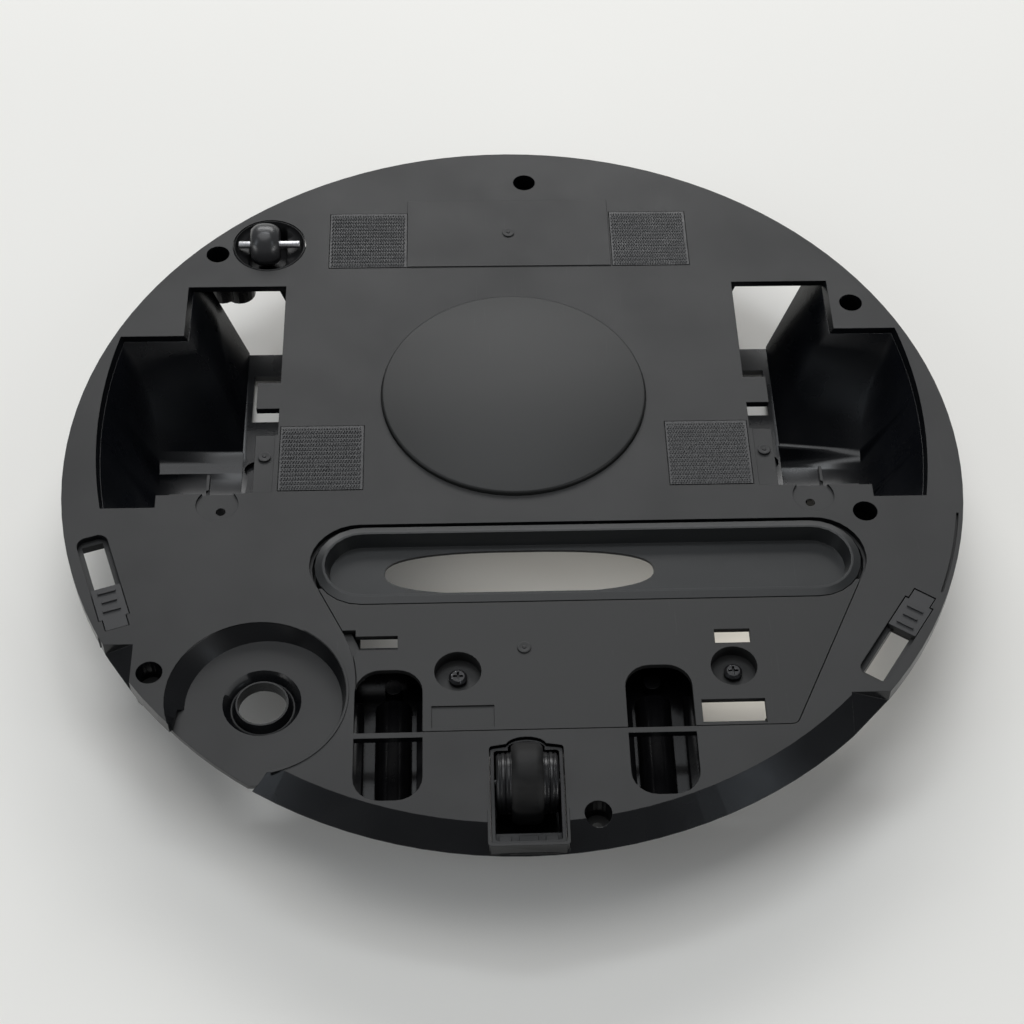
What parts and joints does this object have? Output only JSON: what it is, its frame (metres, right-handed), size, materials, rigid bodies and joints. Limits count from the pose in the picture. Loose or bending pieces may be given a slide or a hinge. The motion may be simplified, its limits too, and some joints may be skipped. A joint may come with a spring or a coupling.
{
  "type": "robot vacuum base",
  "caption": "Disc-shaped base of a robot vacuum, floor side up, with wheel wells, a suction mouth with a screwed cover, small rollers and sliding latches.",
  "frame": {"origin": "centre of the disc, on the plane that the upturned base rests on", "axes": "+Z out of the floor side, -Y towards the robot's front, +X towards the right of the picture"},
  "size_m": [0.32, 0.32, 0.0523],
  "materials": {
    "shell_plastic": "fine spark texture",
    "gloss_plastic": "gloss",
    "cover_plastic": "satin",
    "roller_plastic": "satin",
    "tread_rubber": "matt",
    "hook_nylon": "moulded hooks",
    "steel": "turned"
  },
  "bodies": {
    "base": {"bottom_shell": "shell_plastic", "castor_housing": "gloss_plastic", "contact_tray_left": "gloss_plastic", "contact_tray_right": "gloss_plastic", "cover_screw_left": "steel", "cover_screw_right": "steel", "front_axle": "steel", "hook_patch_middle_left": "hook_nylon", "hook_patch_middle_right": "hook_nylon", "hook_patch_rear_left": "hook_nylon", "hook_patch_rear_right": "hook_nylon", "mouth_cover": "cover_plastic", "rear_axle": "steel", "rear_roller_cup": "gloss_plastic", "round_cap": "cover_plastic", "suction_mouth": "gloss_plastic", "wheel_arch_left": "gloss_plastic", "wheel_arch_right": "gloss_plastic"},
    "front_wheel": {"front_roller": "roller_plastic", "front_roller_tread": "tread_rubber"},
    "rear_wheel": {"rear_roller": "roller_plastic"},
    "left_latch": {"latch_slider_left": "gloss_plastic", "latch_foot_left": "gloss_plastic"},
    "right_latch": {"latch_slider_right": "gloss_plastic", "latch_foot_right": "gloss_plastic"}
  },
  "joints": [
    {"name": "front_roller_spin", "type": "hinge", "parent": "base", "child": "front_wheel", "pos_m": [0, -0.134, 0.0391], "axis": [1, 0, 0], "continuous": true},
    {"name": "rear_roller_spin", "type": "hinge", "parent": "base", "child": "rear_wheel", "pos_m": [-0.094, 0.1086, 0.0439], "axis": [1, 0, 0], "continuous": true},
    {"name": "left_latch_slide", "type": "slide", "parent": "base", "child": "left_latch", "axis": [-0.3118, 0.9501, 0], "range_m": [0, 0.019]},
    {"name": "right_latch_slide", "type": "slide", "parent": "base", "child": "right_latch", "axis": [-0.5614, -0.8276, 0], "range_m": [0, 0.019]}
  ]
}
